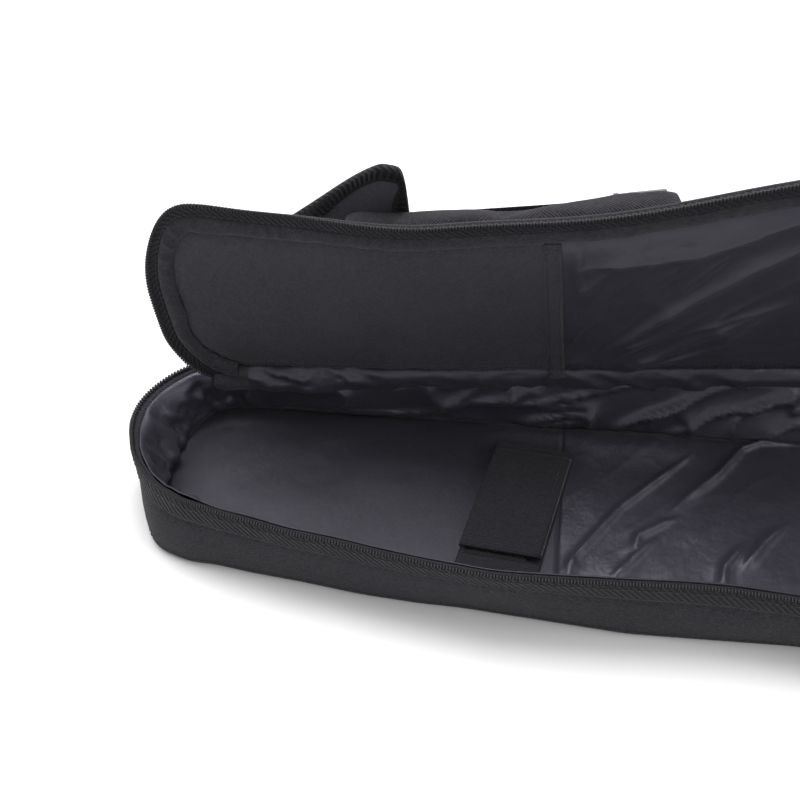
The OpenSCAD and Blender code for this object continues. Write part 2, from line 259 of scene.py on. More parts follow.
def place(name, points, faces, uv=None, body=None, material=None, slot=None, stands_for=None):
    """Makes a piece from points in millimetres, rides it on its body and hides the CAD node it stands for."""
    mesh = bpy.data.meshes.new(name)
    mesh.from_pydata((np.asarray(points, float) * MM).tolist(), [], faces)
    if uv is not None:
        layer = mesh.uv_layers.new(name="cloth")
        loops = np.zeros(len(mesh.loops), np.int32)
        mesh.loops.foreach_get("vertex_index", loops)
        flat = np.asarray(uv, np.float32)
        flat = flat if len(flat) == len(loops) else flat[loops]
        layer.data.foreach_set("uv", flat.ravel())
    mesh.validate()
    mesh.update()
    mesh.shade_smooth()
    mesh.materials.append(material)
    piece = bpy.data.objects.new(name, mesh)
    bpy.context.collection.objects.link(piece)
    if body:
        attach(piece, body)
    if stands_for:
        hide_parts(stands_for)
    return piece


def lengths_of(grid, axis):
    steps = np.linalg.norm(np.diff(grid, axis=axis), axis=2).mean(axis=1 - axis)
    return np.r_[0, np.cumsum(steps)]


def grid_piece(name, columns, ring=False, **made):
    """A piece from columns of points round a closed section. A ring joins its ends, others get caps."""
    grid = np.stack(columns, 1)
    nu, nv = grid.shape[:2]
    us, vs = lengths_of(grid, 0) * MM, lengths_of(grid, 1) * MM
    us = np.r_[us, us[-1] + us[1]]
    vs = np.r_[vs, vs[-1] + vs[1]]
    i, j = np.meshgrid(np.arange(nu if ring else nu - 1), np.arange(nv), indexing="ij")
    i, j = i.ravel(), j.ravel()
    ii, jj = (i + 1) % nu, (j + 1) % nv
    faces = np.stack([i * nv + j, ii * nv + j, ii * nv + jj, i * nv + jj], 1)
    uv = np.stack([us[i], vs[j], us[i + 1], vs[j], us[i + 1], vs[j + 1], us[i], vs[j + 1]], 1)
    faces, uv = faces.tolist(), uv.reshape(-1, 2)
    if not ring:
        half = nv // 2
        for row, flip in ((0, False), (nu - 1, True)):
            for k in range(half - 1):
                quad = [row * nv + k, row * nv + k + 1, row * nv + nv - 2 - k, row * nv + nv - 1 - k]
                faces.append(quad[::-1] if flip else quad)
                uv = np.vstack([uv, np.array([(vs[k], 0), (vs[k + 1], 0), (vs[k + 1], 1e-3), (vs[k], 1e-3)])])
    return place(name, grid.reshape(-1, 3), faces, uv=uv, **made)


def slab_piece(name, top, bottom, **made):
    """A closed piece between two grids of the same shape."""
    return grid_piece(name, np.swapaxes(np.concatenate([top, bottom[:, ::-1]], 1), 0, 1), **made)


def second_material(piece, columns, rows, material, after=0):
    """Gives the faces beside some of a grid piece's columns another material, from the row after on."""
    piece.data.materials.append(material)
    for face in piece.data.polygons:
        if face.index % rows in columns and face.index // rows >= after:
            face.material_index = len(piece.data.materials) - 1


def ring_piece(name, section, at, start=0.0, end=None, step=STEP, **made):
    """Sweeps a closed section of (inset, z) pairs along the outline. A pair may hold arrays over s."""
    closed = end is None
    count = int((PERIMETER if closed else end - start) / step)
    s = np.linspace(start, PERIMETER if closed else end, count, endpoint=not closed)
    section = section(s) if callable(section) else section
    columns = [at(s, inset + 0 * s, z + 0 * s) for inset, z in section]
    return grid_piece(name, columns, ring=closed, **made)


def repeated(name, template, spots, at, **made):
    """Many small copies of one closed shape, each at its own (s, inset, z)."""
    points, faces = template
    spots = np.asarray(spots, float)
    every = spots[:, None, :] + points[None]
    n = len(points)
    flat = at(every[..., 0], every[..., 1], every[..., 2]).reshape(-1, 3)
    all_faces = [[k * n + f for f in face] for k in range(len(spots)) for face in faces]
    return place(name, flat, all_faces, uv=np.tile(points[:, :2] * MM, (len(spots), 1)), **made)


def plain(x, y, z):
    """Points from three numbers or arrays that broadcast together."""
    return np.stack(np.broadcast_arrays(x, y, z), -1)


def pill(length, width, height, sides=6, axis=0):
    """A short rounded bar: rings of points along one axis, closed by a face at each end."""
    angles = np.arange(sides) * 2 * math.pi / sides
    rings = [plain(t * length, np.cos(angles) * width / 2 * size, np.sin(angles) * height / 2 * size)
             for t, size in ((-0.5, 0.45), (-0.32, 1.0), (0.32, 1.0), (0.5, 0.45))]
    points = np.vstack(rings)
    faces = [list(range(sides))[::-1], [3 * sides + k for k in range(sides)]]
    for r in range(3):
        for k in range(sides):
            n = (k + 1) % sides
            faces.append([r * sides + k, r * sides + n, (r + 1) * sides + n, (r + 1) * sides + k])
    if axis:
        points = points[:, [1, 0, 2]]
        faces = [f[::-1] for f in faces]
    return points, faces


def stitches(name, size, s, where, at, axis=0, **made):
    """Rows of thread stitches along s, one row for each pair in where."""
    rows = np.vstack([plain(s, a, b) for a, b in where])
    return repeated(name, pill(*size, axis=axis), rows, at, material=THREAD, **made)


def zip_coil(name, size, s, a, b, at, **made):
    """One side of a zip's coil along s: a short bar for each turn."""
    return repeated(name, pill(*size, axis=1), plain(s, a, b), at, material=COIL, slot="zip_coil", **made)


def round_section(radius, turn=-1):
    """An eight-sided circle of pairs. It runs the other way round with turn=1."""
    angles = np.linspace(0, 2 * math.pi, 8, endpoint=False)
    return [(radius * math.cos(turn * a), radius * math.sin(turn * a)) for a in angles]


# ---- Materials ----


class Graph:
    """A material with short calls for its common nodes."""

    def __init__(self, name):
        self.material = bpy.data.materials.new(name)
        self.material.use_nodes = True
        self.nodes, self.links = self.material.node_tree.nodes, self.material.node_tree.links
        self.shader = self.nodes["Principled BSDF"]

    def add(self, kind, **values):
        """Adds a node. A value may be another node's output, a number, or one of the node's own settings."""
        node = self.nodes.new("ShaderNode" + kind)
        for key, value in values.items():
            socket = key.replace("_", " ")
            if isinstance(value, bpy.types.NodeSocket):
                self.links.new(value, node.inputs[socket])
            elif socket in node.inputs:
                node.inputs[socket].default_value = value
            else:
                setattr(node, key, value)
        return node

    def maths(self, operation, *values):
        """One arithmetic node, from numbers or other nodes' outputs."""
        node = self.nodes.new("ShaderNodeMath")
        node.operation = operation
        for socket, value in zip(node.inputs, values):
            if isinstance(value, (int, float)):
                socket.default_value = value
            else:
                self.links.new(value, socket)
        return node.outputs[0]

    def waves(self, value, pitch):
        """A sine from -1 to 1 that repeats every pitch metres."""
        return self.maths("SINE", self.maths("MULTIPLY", value, 2 * math.pi / pitch))

    def uneven(self, value, amount):
        """A noise output turned into a change of tone about nought."""
        return self.maths("MULTIPLY", self.maths("SUBTRACT", value, 0.5), amount * 2)

    def colour(self, colour, dark, light, factor):
        """Mixes the base colour between a dark and a light share of one colour."""
        mix = self.add("Mix", data_type="RGBA")
        self.links.new(factor, mix.inputs[0])
        for socket, shade in ((6, dark), (7, light)):
            mix.inputs[socket].default_value = (*[c * shade for c in colour], 1)
        self.links.new(mix.outputs[2], self.shader.inputs["Base Color"])

    def roughness(self, low, high, value):
        spread = self.add("MapRange", Value=value, To_Min=low, To_Max=high)
        self.links.new(spread.outputs[0], self.shader.inputs["Roughness"])

    def settings(self, **values):
        for key, value in values.items():
            self.shader.inputs[key.replace("_", " ")].default_value = value


TWILL_FOLD = 0.02


def weave_height(graph, kind, pitch):
    """The height of a weave, from -1 to 1, in the cloth's own coordinates."""
    split = graph.add("SeparateXYZ", Vector=graph.add("UVMap", uv_map="cloth").outputs[0])
    u, v = split.outputs[0], split.outputs[1]
    if kind == "rib":
        return graph.waves(u, pitch)
    if kind == "twill":
        return graph.waves(graph.maths("ADD", u, graph.maths("PINGPONG", v, TWILL_FOLD)), pitch)
    return graph.maths("MULTIPLY", graph.waves(u, pitch), graph.waves(v, pitch))


def cloth_material(name, colour, rough, kind="plain", pitch=0.0009, depth=0.00012, mottle=0.25,
                   sheen=0.2, crinkle=0.0, crinkle_size=60.0, specular=0.35, patch=0.16, tint=(1, 1, 1),
                   weave_shade=0.35):
    """A woven material: thread bumps, thread to thread colour, painted shade from the weave's height, larger
    uneven patches and fine crinkles.
    """
    graph = Graph(name)
    graph.settings(Specular_IOR_Level=specular, Sheen_Weight=sheen, Sheen_Roughness=0.45,
                   Specular_Tint=(*tint, 1))
    where = graph.add("TexCoord").outputs["Object"]
    height = weave_height(graph, kind, pitch)
    fine = graph.add("TexNoise", Vector=where, Scale=520.0, Detail=2.0).outputs[0]
    wide = graph.add("TexNoise", Vector=where, Scale=14.0, Detail=4.0).outputs[0]
    tone = graph.maths("ADD", graph.uneven(fine, mottle), graph.uneven(wide, patch))
    # Painted shade: the weave's height darkens its low threads and lightens its high ones in the base colour,
    # scaled by mottle as well
    tone = graph.maths("ADD", tone, graph.maths("MULTIPLY", height, mottle * weave_shade))
    graph.colour(colour, 0.55, 1.45, graph.maths("ADD", tone, 0.5))
    graph.roughness(rough - 0.06, rough + 0.08, wide)
    bump = graph.add("Bump", Strength=0.6, Distance=depth, Height=height)
    if crinkle:
        soft = graph.add("TexNoise", Vector=where, Scale=crinkle_size, Detail=5.0, Roughness=0.6)
        under = graph.add("Bump", Strength=0.8, Distance=crinkle, Height=soft.outputs[0])
        graph.links.new(under.outputs[0], bump.inputs["Normal"])
    graph.links.new(bump.outputs[0], graph.shader.inputs["Normal"])
    return graph.material


def hard_material(name, colour, rough, metallic, grain):
    """Moulded or cast material with a fine uneven grain."""
    graph = Graph(name)
    graph.settings(Metallic=metallic)
    where = graph.add("TexCoord").outputs["Object"]
    fine = graph.add("TexNoise", Vector=where, Scale=grain, Detail=3.0).outputs[0]
    graph.colour(colour, 0.7, 1.4, fine)
    graph.roughness(rough - 0.08, rough + 0.12, fine)
    bump = graph.add("Bump", Strength=0.4, Distance=0.0001, Height=fine)
    graph.links.new(bump.outputs[0], graph.shader.inputs["Normal"])
    return graph.material


SHELL = cloth_material("shell_cloth", (0.0228, 0.0208, 0.0268), 0.74, pitch=0.0021, depth=0.0007, mottle=1.3,
                       sheen=0.05, specular=0.22, crinkle=0.0012, crinkle_size=40, patch=0.5)
MATTE = cloth_material("matte_cloth", (0.0292, 0.0272, 0.0362), 0.66, pitch=0.0016, depth=0.0003, mottle=0.8,
                       sheen=0.12, crinkle=0.0008, crinkle_size=32, patch=0.5)
SATIN = cloth_material("satin_lining", (0.0320, 0.0302, 0.0408), 0.32, pitch=0.0006, depth=0.00003,
                       mottle=0.12, sheen=0.06, crinkle=0.0014, crinkle_size=48, specular=0.5,
                       tint=(0.90, 0.87, 1.0))
SEMI = cloth_material("padded_floor_cloth", (0.0248, 0.0234, 0.0312), 0.38, pitch=0.0009, depth=0.0001,
                      mottle=0.5, sheen=0.08, crinkle=0.0016, crinkle_size=22, specular=0.42, patch=0.4,
                      tint=(0.90, 0.87, 1.0))
BIND = cloth_material("binding_cloth", (0.0270, 0.0250, 0.0315), 0.8, pitch=0.0018, depth=0.0004,
                      sheen=0.12, specular=0.25, mottle=0.9)
# The tape's twill gets a stronger painted shade from its weave's height
TAPE = cloth_material("zip_tape_cloth", (0.0135, 0.0125, 0.0163), 0.75, kind="twill", pitch=0.0042,
                      depth=0.0009, mottle=0.8, sheen=0.05, specular=0.25, weave_shade=0.6)
# Painted light: the flap's cloth is the lid's matte cloth painted about three times lighter, to make up for
# the light its face gets
FLAP_PAINTED_LIGHT_CLOTH = cloth_material("flap_painted_light_cloth", (0.092, 0.087, 0.106), 0.7, pitch=0.0011, mottle=0.35, sheen=0.15,
                            crinkle=0.0005, crinkle_size=32, patch=0.2)
WEB = cloth_material("webbing_cloth", (0.0160, 0.0150, 0.0198), 0.76, kind="rib", pitch=0.0014, depth=0.0004,
                     sheen=0.06, specular=0.2, mottle=0.6)
LOOP = cloth_material("hook_pad_cloth", (0.014, 0.0135, 0.017), 0.95, pitch=0.0018, depth=0.0006, sheen=0.5,
                      mottle=0.6)
FOAM = cloth_material("foam_pad", (0.10, 0.10, 0.105), 0.95, pitch=0.002, depth=0.0003, sheen=0.0)
THREAD = cloth_material("sewing_thread", (0.017, 0.016, 0.020), 0.55, kind="rib", pitch=0.0005, sheen=0.2)
PATCH = cloth_material("wear_patch_cloth", (0.020, 0.019, 0.024), 0.6, pitch=0.0019, depth=0.0005, sheen=0.1)
COIL = hard_material("zip_coil", (0.0105, 0.010, 0.0125), 0.55, 0.0, 260.0)
METAL = hard_material("zip_metal", (0.10, 0.10, 0.105), 0.34, 0.9, 90.0)


COIL_PITCH, COIL_SIZE = 1.8, (3.0, 1.5, 2.0)


# ---- The tray ----


def wall_section(s):
    """Outer face with a soft crown between the bottom seam and the zip tape, then the inner face."""
    wave = rough_noise(s / 55, 0.3, 11)
    pinch = rough_noise(s / 9, 4.7, 12)
    outer = [
        (2.4, 0.3), (0.9, 0.3), (0.2, 1.1), (-0.2, 2.6), (-0.5, 5.2),
        (-1.0 - 0.3 * pinch, 8), (-1.7 - 0.7 * wave, 14), (-2.0 - 1.1 * wave, 22),
        (-1.6 - 0.9 * wave, 30), (-0.9 - 0.25 * pinch, 36), (0.1, 38.8), (0.0, 44), (0.3, 50), (1.2, 52),
    ]
    inner = [(3.6, 52.2), (4.8, 51), (5.0, 40), (5.0, 30), (5.0, 20), (5.0, 10), (5.0, 4), (4.2, 2.0)]
    return [(i + 0 * s, z + 0 * s) for i, z in outer + inner]


def lining_section(s):
    """The gathered side lining, from the floor's seam up to the rim and back down its outer face."""
    x, _ = edge_xy(s, 0)
    head = smooth((-425 - x) / 50)
    spine = smooth((-on_edge(s, INWARD[:, 1]) - 0.5) / 0.4)
    deep = 1.0 + 7.5 * head + 6.0 * spine * (1 - head)
    foot = 6.8 + on_edge(s, SEAM_IN)
    inner, outer = [], []
    for t in np.linspace(0, 1, 19):
        bell = math.sin(math.pi * min(t * 0.965 + 0.03, 1)) ** 0.6
        base = foot * (1 - t) ** 1.3 + 5.9 * (1 - (1 - t) ** 1.3)
        folds = (0.8 * creases(s / 15 + t * 1.4, t * 1.6 + 3, 21, 2.5)
                 + 0.7 * creases(s / 9 - t * 1.1, t * 2.6, 22, 2) + 0.35 * creases(s / 5 + t, t * 5, 26, 2))
        long = (1.0 * creases(t * 2.9 - x / 78, x / 60 + 7, 24, 5)
                + 0.7 * creases(t * 2.2 - x / 37, x / 34, 25, 5))
        facets = (5.0 * noise(s / 11 + t * 1.7, t * 3.2 - s / 40, 27, abs)
                  + 2.0 * noise(s / 6 - t * 1.5, t * 4.4, 28, abs))
        inset = base + 0.8 * (1 - t) + deep * bell * (0.55 * folds * head + long * (1 - head))
        inset = inset + spine * 1.5 * bell + head * bell * (facets + 1.5)
        z = 12.6 + t * 39.6 + 1.6 * bell * noise(s / 17, t * 3, 23)
        inner.append((inset, z))
        outer.append((np.maximum(inset - 0.9, 5.1), z - 0.1))
    return inner + outer[::-1]


def seam_bead(s):
    """The bound seam between the floor and the wall."""
    foot, wave = 7.6 + on_edge(s, SEAM_IN), 0.5 * noise(s / 14, 2.2, 31)
    return [(foot + a + wave, 11.9 + wave * 0.6 + b) for a, b in round_section(1.5)]


def tray_pieces():
    wall = ring_piece("wall_cover", wall_section, tray_at, body="tray", material=SHELL, slot="shell_fabric",
                      stands_for="side_wall")
    lining = ring_piece("side_lining_cloth", lining_section, tray_at, step=2.4, body="tray",
                        material=SATIN, slot="nylon_lining", stands_for="side_lining")
    ring_piece("floor_seam_binding", seam_bead, tray_at, body="tray", material=BIND, slot="binding",
               stands_for="inner_seam_binding")
    tape = [(0.2, 39.6), (-0.9, 39.4), (-1.2, 43), (-1.0, 48), (-0.9, 51.4), (-0.7, 53.2), (0.6, 53.5),
            (1.8, 53.0), (1.6, 50), (0.3, 43)]
    ring_piece("tray_zip_tape_cloth", tape, tray_at, start=STEP, end=ZIP_L - STEP, body="tray", material=TAPE,
               slot="zip_tape", stands_for="tray_zip_tape")
    start, end = STEP * 2, ZIP_L - STEP * 2
    zip_coil("tray_zip_coil", COIL_SIZE, np.arange(start, end, COIL_PITCH), 0.6, 53.7, tray_at, body="tray",
             stands_for="tray_zip_teeth")
    stitches("tray_tape_stitches", (2.5, 0.5, 0.75), np.arange(start, end, 3.6),
             ((-1.15, 41.0), (-1.15, 49.6)), tray_at, body="tray", slot="zip_tape")
    stitches("bottom_seam_stitches", (2.7, 0.6, 0.75), np.arange(0, PERIMETER - 3, 4.0), ((-0.6, 4.6),),
             tray_at, body="tray", slot="shell_fabric")
    patch = [(-1.0, 2.2), (-2.9, 3), (-3.5, 10), (-3.9, 18), (-3.6, 26), (-2.9, 32.6), (-2.2, 33.6),
             (-1.6, 32), (-0.4, 24), (-0.4, 12)]
    ring_piece("tail_patch_cloth", patch, tray_at, start=1010.0, end=1520.0, body="tray", material=PATCH,
               slot="patch_fabric", stands_for="tail_patch")


def ring_of(inset):
    return np.column_stack(edge_xy(EDGE_S, inset))


def floor_ring(inset):
    """The outline of the floor, which follows the foot of the leaning walls."""
    return tray_at(EDGE_S, inset + SEAM_IN, 13.0)[:, :2]


def chains(ring):
    """An outline as two chains from the head to the tail: the near side, and the spine side."""
    left, right = ring[:, 0].argmin(), ring[:, 0].argmax()
    low = ring[left:right + 1]
    high = np.vstack([ring[right:], ring[:left + 1]])[::-1]
    return low, high


def panel_grid(ring, x0, x1, rows, far_in=0.0, coarse_from=-20.0):
    """A grid of (x, y) inside the ring between x0 and x1, from the near side to the spine."""
    low, high = chains(ring)
    x0, x1 = max(x0, low[0, 0]), min(x1, low[-1, 0])
    keep = low[(low[:, 0] > x0 + 0.6) & (low[:, 0] < x1 - 0.6), 0]
    keep = np.sort(np.r_[keep, (keep[:-1] + keep[1:]) / 2]) if coarse_from > -BEYOND else keep
    fine = keep < coarse_from
    xs = np.unique(np.r_[x0, keep[fine], keep[~fine][::3], x1])
    near = np.interp(xs, low[:, 0], low[:, 1])
    far = np.interp(xs, high[:, 0], high[:, 1])
    if far_in:
        far = np.minimum(far, spine_y(0) + xs * math.tan(SPINE) - far_in / math.cos(SPINE))
    v = np.linspace(0, 1, rows)
    v = v - 0.12 * np.sin(2 * math.pi * v) / (2 * math.pi)
    return np.repeat(xs[:, None], rows, 1), near[:, None] + (far - near)[:, None] * v


def edge_distance(x, y, ring):
    """How far each point is from the nearest point of the ring."""
    flat_x, flat_y = x.ravel().astype(np.float32), y.ravel().astype(np.float32)
    ex, ey = ring.astype(np.float32).T
    out = np.zeros(len(flat_x), np.float32)
    for k in range(0, len(flat_x), 4000):
        dx = flat_x[k:k + 4000, None] - ex[None]
        dy = flat_y[k:k + 4000, None] - ey[None]
        out[k:k + 4000] = np.sqrt((dx * dx + dy * dy).min(1))
    return out.reshape(x.shape)


BASE_FOLDS = (
    ([(-148, 58), (-197, 4), (-238, -60)], 2.2, 4.6),
    ([(-60, 84), (-100, 78), (-114, 69), (-130, 45), (-166, 4)], 2.2, 5.0),
    ([(-160, 2), (-186, -18), (-190, -34)], 2.3, 4.4),
    ([(-172, -14), (-205, -56)], 2.2, 4.0),
    ([(-120, -14), (-134, -34), (-138, -56)], 2.6, 5.4),
    ([(-92, 6), (-108, -12), (-124, -36)], 2.8, 5.6),
    ([(-226, -40), (-232, -66)], 2.8, 3.5),
    ([(-30, 40), (-80, -40)], 3.6, 5.0),
    ([(60, 60), (10, -30)], 4.0, 5.0),
    ([(150, 20), (60, -70)], 4.0, 5.0),
    ([(250, 90), (210, -20), (150, -90)], 4.0, 5.0),
    ([(380, 60), (330, -60)], 4.5, 5.0),
)
STRAP_REST = 0.9


def hinge_swell(x, y, d):
    """The floor's fuller edge along the hinge, between the strap's far end and the first long fold."""
    size = 9 + 5 * smooth((x + 235) / 25)
    beside = (1 - smooth((spine_y(x) - y - 45) / 20)) * smooth((x + 305) / 35) * (1 - smooth((x + 172) / 40))
    return 0.40 * size * np.exp(-(((d - 1.1 * size) / size) ** 2)) * beside


def base_height(x, y, folded=True):
    """The padded floor: a low crown, puckers along its seam, and folds in the shiny lining."""
    d = edge_distance(x, y, floor_ring(6.5))
    rise = 5.0 * (1 - np.exp(-d / 10)) - 2.4
    pucker = 1.3 * rough_noise((x + y * 0.7) / 11, (x * 0.3 - y) / 11, 41) * np.exp(-d / 9)
    wave = 1.5 * rough_noise(x / 60, y / 45, 42) * (1 - STRAP_REST * np.exp(-(((x + 262) / 45) ** 4)))
    wave = wave + hinge_swell(x, y, d)
    if not folded:
        return FLOOR_Z + rise + pucker + wave
    shiny = smooth((x - PANEL_END_X + 2) / 10)
    across, along = x * 0.78 - y * 0.625, x * 0.625 + y * 0.78
    folds = 1.0 * creases(across / 40, along / 90, 43, 6) + 0.9 * creases(across / 17, along / 40, 44, 6)
    folds = folds * (0.5 + 0.5 * noise(x / 60, y / 60, 45)) * (1 - np.exp(-d / 7))
    for points, width, height in BASE_FOLDS:
        folds = folds + ridge(x, y, points, width, height)
    return FLOOR_Z + rise + pucker + wave + shiny * folds


def floor_pieces():
    for name, x0, x1, material, slot, node, flat in (
        ("floor_head_cloth", -BEYOND, PANEL_END_X, SEMI, "matte_lining", "base_head_panel", (0.17, 0.28)),
        ("floor_lining_cloth", PANEL_END_X, BEYOND, SATIN, "nylon_lining", "base_lining", (0.36, 0.75)),
    ):
        x, y = panel_grid(floor_ring(6.5), x0, x1, 72 if x0 < -300 else 110, coarse_from=20)
        top = plain(x, y, base_height(x, y))
        cloth = slab_piece(name, top, top - (0, 0, 0.9), body="tray", material=material, slot=slot,
                           stands_for=node)
    x, y = panel_grid(floor_ring(6.8), -BEYOND, BEYOND, 60, coarse_from=-BEYOND)
    z = base_height(x, y, folded=False) - 1.4
    pad = slab_piece("floor_pad", plain(x, y, z), plain(x, y, 1.9), body="tray", material=FOAM, slot="foam",
                     stands_for="base_padding")
    sole = tray_at(EDGE_S, 1.2, 0.5)[:, :2]
    x, y = panel_grid(sole, -BEYOND, BEYOND, 60, coarse_from=-BEYOND)
    lift = 0.5 * smooth(edge_distance(x, y, sole) / 12) * (1 + rough_noise(x / 50, y / 50, 46))
    low = plain(x, y, 0.02 + 0.3 * lift)
    panel = slab_piece("bottom_cloth", low + (0, 0, 1.4), low, body="tray", material=SHELL,
                       slot="shell_fabric", stands_for="back_panel")


# ---- The lid ----


def lid_panel_height(x, y, lining):
    """The lid's inner face, as a height with the lid shut. Lower stands nearer the viewer when it is open."""
    d = edge_distance(x, y, ring_of(16))
    rise = -2.4 * (1 - np.exp(-d / 9)) + 2.6 * np.exp(-d / 3.2)
    pucker = 0.8 * rough_noise((x + y * 0.7) / 8, (x * 0.3 - y) / 8, 51) * np.exp(-d / 7)
    wave = 1.2 * rough_noise(x / 75, y / 65, 52)
    z = 57.0 + rise + pucker + wave
    if lining:
        dx, dy = x + 262, 98 - y
        angle, far = np.degrees(np.arctan2(dy, dx)), np.hypot(dx, dy)
        fan = 3.2 * creases(angle / 10, far / 90, 53, 5) + 1.6 * creases(angle / 4.6, far / 55, 54, 5)
        across = x * 0.55 + y * 0.83
        rest = 3.4 * creases(across / 34, (x - y) / 100, 55, 5)
        mix = smooth((x + 60) / 80)
        folds = (fan * (1 - mix) + rest * mix) * (0.6 + 0.4 * noise(x / 60, y / 50, 56))
        folds = folds * (1 - np.exp(-d / 8))
        folds = folds + ridge(x, y, [(-232, -41), (-198, -45), (-165, -44), (-114, -60), (-40, -64)], 6, 4.5)
        folds = folds + ridge(x, y, [(-226, 62), (-180, 16), (-130, -22), (-90, -44)], 5, 4.0)
        folds = folds + ridge(x, y, [(-215, 84), (-150, 40), (-95, 10)], 6, 3.6)
        z = z - folds * smooth((x - LID_PANEL_X) / 8)
    return z


def lid_back_height(x, y):
    """The outer face of the lid's shell, as a height with the lid shut."""
    d = edge_distance(x, y, ring_of(RIM_INSET))
    crown = 67.2 - 6.5 * np.clip(1 - d / 9, 0, 1) ** 2
    pull = 0.7 * rough_noise((x + y) / 16, (x - y) / 16, 58) * np.exp(-d / 16) * smooth(d / 5)
    return crown + 1.0 * smooth(d / 20) * rough_noise(x / 70, y / 70, 57) + pull


def lid_back_trim():
    """Piping round the lid's back, and a row of stitches inside it."""
    start, end = 12.0, ZIP_L - 12.0
    cord = [(RIM_INSET + 3.2 + a, 65.0 + b) for a, b in round_section(1.6)]
    ring_piece("lid_back_piping", cord, lid_at, start=start, end=end, body="lid", material=BIND,
               slot="binding")
    s = np.arange(start, end, 4.0)
    x, y = edge_xy(s, 10.0)
    stitches("lid_back_stitches", (2.7, 0.6, 0.75), s, ((10.0, lid_back_height(x[None], y[None])[0] + 0.15),),
             lid_at, body="lid", slot="shell_fabric")


def lid_border(s):
    """The puckered binding between the lid's panels and the zip tape."""
    pleat = 1.5 * creases(s / 12, 0.5, 61, 3) + 0.5 * noise(s / 4.2, 1.5, 62)
    wave = noise(s / 30, 2.5, 63) + 1.3 * noise(s / 9, 3.5, 64)
    rows = [(16.8, 57.8), (16.2, 56.6 - 0.3 * pleat), (14.4, 55.8 - 0.7 * pleat), (12.0, 55.4 - 0.9 * pleat),
            (9.6, 55.5 - 0.7 * pleat), (7.6, 56.2 - 0.3 * pleat), (6.4, 57.3), (7.0, 58.6), (12, 58.9)]
    return [(i + 0.8 * wave * min(1, max(0, (i - 7) / 6)), z + 0 * s) for i, z in rows]


def lid_pieces():
    for name, x0, x1, material, slot, node, flat in (
        ("lid_head_cloth", -BEYOND, LID_PANEL_X, MATTE, "matte_lining", "lid_head_panel", (0.14, 0.27)),
        ("lid_lining_cloth", LID_PANEL_X, BEYOND, SATIN, "nylon_lining", "lid_lining", (0.34, 0.74)),
    ):
        x, y = panel_grid(ring_of(15.0), x0, x1, 72 if x0 < -300 else 120, far_in=8.0, coarse_from=20)
        z = lid_panel_height(x, y, node == "lid_lining")
        cloth = slab_piece(name, lid_xyz(x, y, z + 0.9), lid_xyz(x, y, z), body="lid", material=material,
                           slot=slot, stands_for=node)
    x, y = panel_grid(ring_of(8.0), -BEYOND, BEYOND, 60, far_in=16.0, coarse_from=-BEYOND)
    front = np.maximum(lid_panel_height(x, y, True) + 1.3, 57.6)
    pad = slab_piece("lid_pad", lid_xyz(x, y, 65.6), lid_xyz(x, y, front), body="lid", material=FOAM,
                     slot="foam", stands_for="lid_padding")
    x, y = panel_grid(ring_of(RIM_INSET), -BEYOND, BEYOND, 90, far_in=7.0, coarse_from=20)
    back = lid_back_height(x, y)
    shell = slab_piece("lid_shell_cloth", lid_xyz(x, y, back), lid_xyz(x, y, np.minimum(back - 1.0, 66.2)),
                       body="lid", material=SHELL, slot="shell_fabric", stands_for="lid_shell")
    first, last = 7.0, ZIP_L - 7.0
    ring_piece("lid_edge_binding", lid_border, lid_at, start=first, end=last, step=1.6, body="lid",
               material=BIND, slot="binding", stands_for="lid_binding")
    tape = [(9.0, 57.3), (5.0, 56.9), (2.4, 56.7), (0.2, 56.4), (-0.9, 57.0), (-0.9, 58.0), (0.4, 58.7),
            (2.2, 59.2), (2.5, 61.8), (3.6, 62.6), (4.8, 60.6), (8.8, 58.6)]
    ring_piece("lid_zip_tape_cloth", tape, lid_at, start=first, end=last, body="lid", material=TAPE,
               slot="zip_tape", stands_for="lid_zip_tape")
    zip_coil("lid_zip_coil", COIL_SIZE, np.arange(first, last, COIL_PITCH), -0.4, 56.6, lid_at, body="lid",
             stands_for="lid_zip_teeth")
    stitches("lid_tape_stitches", (2.3, 0.6, 0.6), np.arange(first + 3, last - 3, 3.4), ((5.3, 56.7),),
             lid_at, body="lid", slot="zip_tape")
    hem_pieces()
    lid_back_trim()


def hem_pieces():
    """A folded hem with two rows of stitches where the lid's head panel ends."""
    y = np.linspace(spine_y(LID_PANEL_X) - 11, -62, 120)
    x = np.array([0.5, -1.5, -5.0, -8.5, -10.5])
    gx, gy = LID_PANEL_X + np.repeat(x[:, None], len(y), 1), np.repeat(y[None], len(x), 0)
    lift = np.array([0.2, 0.7, 0.45, 0.6, 0.1])[:, None]
    face = lid_panel_height(gx, gy, True)
    slab_piece("lid_panel_hem", lid_xyz(gx, gy, face + 0.5), lid_xyz(gx, gy, face - lift), body="lid",
               material=MATTE, slot="matte_lining", stands_for="lid_hem")
    spots = []
    for dx in (-1.6, -8.4):
        ys = np.arange(-58, spine_y(LID_PANEL_X) - 14, 3.4)
        xs = 0 * ys + LID_PANEL_X + dx
        spots.append(plain(xs, ys, lid_panel_height(xs[None], ys[None], True)[0] - 0.75))
    repeated("hem_stitches", pill(2.4, 0.55, 0.55, axis=1), np.vstack(spots), lid_xyz, body="lid",
             material=THREAD, slot="matte_lining")


# The strip's points further in than this are its front. Its last part at the head is a matte gusset
SPINE_FRONT, MATTE_FROM = 3, 0.97


